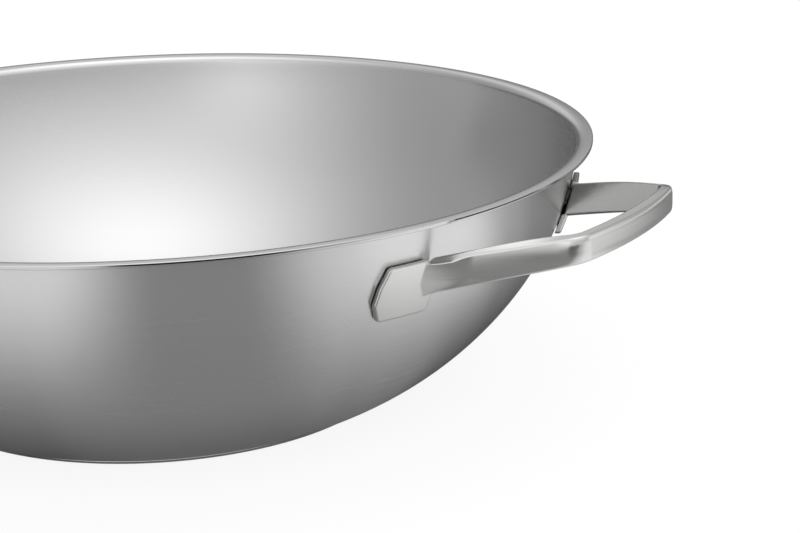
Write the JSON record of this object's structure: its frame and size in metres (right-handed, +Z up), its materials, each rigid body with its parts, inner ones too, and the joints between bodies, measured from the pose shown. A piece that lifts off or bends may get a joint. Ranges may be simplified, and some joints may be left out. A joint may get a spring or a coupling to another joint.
{
  "type": "wok pan",
  "caption": "Wide flat-bottomed steel wok pan with a deep curved bowl, a turned-out pouring rim, a thin base disc and a welded loop handle on each side.",
  "frame": {"origin": "centre of the base, on the surface the pan stands on", "axes": "+Z up, +X through the two handles"},
  "size_m": [0.435, 0.36, 0.1031],
  "materials": {
    "inner_steel": "satin, fine circular brushing",
    "core_aluminium": "plain rolled, enclosed",
    "outer_steel": "satin, fine circular brushing",
    "base_steel": "turned face, polished edge",
    "handle_steel": "satin, brushed along its length",
    "weld_steel": "dull, as welded"
  },
  "bodies": {
    "root": {"bowl_inner_skin": "inner_steel", "bowl_core": "core_aluminium", "bowl_outer_skin": "outer_steel", "base_plate": "base_steel", "handle_right": "handle_steel", "handle_left": "handle_steel", "weld_studs_right": "weld_steel", "weld_studs_left": "weld_steel"}
  },
  "joints": []
}
